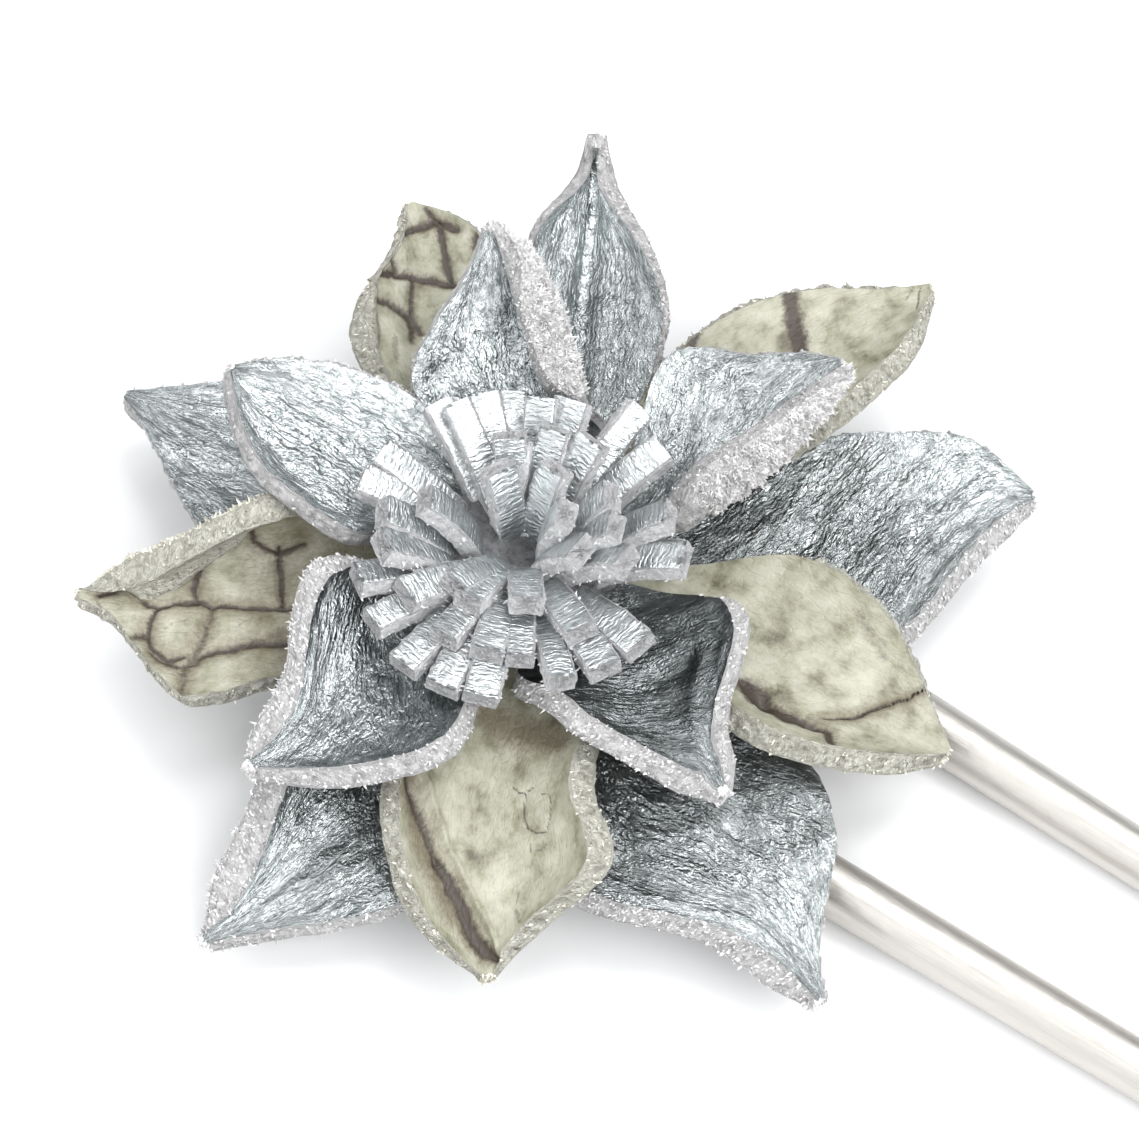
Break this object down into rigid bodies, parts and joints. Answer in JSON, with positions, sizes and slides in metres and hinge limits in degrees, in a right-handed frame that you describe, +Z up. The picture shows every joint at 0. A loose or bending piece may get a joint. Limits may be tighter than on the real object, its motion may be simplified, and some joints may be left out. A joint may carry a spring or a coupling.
{
  "type": "leather flower hair fork",
  "caption": "Metal hair fork (kanzashi) with a layered flower of silver foil and snakeskin-embossed leather petals round a curled fringe centre.",
  "frame": {"origin": "on the floor, in the middle of the bounding box seen from above", "axes": "+X from the flower towards the prong tips, +Z up, out of the flower's face"},
  "size_m": [0.148, 0.064, 0.0211],
  "materials": {
    "fork_metal": "satin nickel",
    "backing_leather": "suede",
    "silver_leather": "wrinkled silver foil with pale suede edges",
    "python_leather": "embossed scales, semi-gloss"
  },
  "bodies": {
    "root": {"hair_fork": "fork_metal", "backing_disc": "backing_leather", "low_silver_petal_1": "silver_leather", "low_silver_petal_2": "silver_leather", "low_silver_petal_3": "silver_leather", "low_silver_petal_4": "silver_leather", "low_silver_petal_5": "silver_leather", "python_petal_1": "python_leather", "python_petal_2": "python_leather", "python_petal_3": "python_leather", "python_petal_4": "python_leather", "python_petal_5": "python_leather", "top_silver_petal_1": "silver_leather", "top_silver_petal_2": "silver_leather", "top_silver_petal_3": "silver_leather", "top_silver_petal_4": "silver_leather", "top_silver_petal_5": "silver_leather", "stamen_fringe": "silver_leather"}
  },
  "joints": []
}
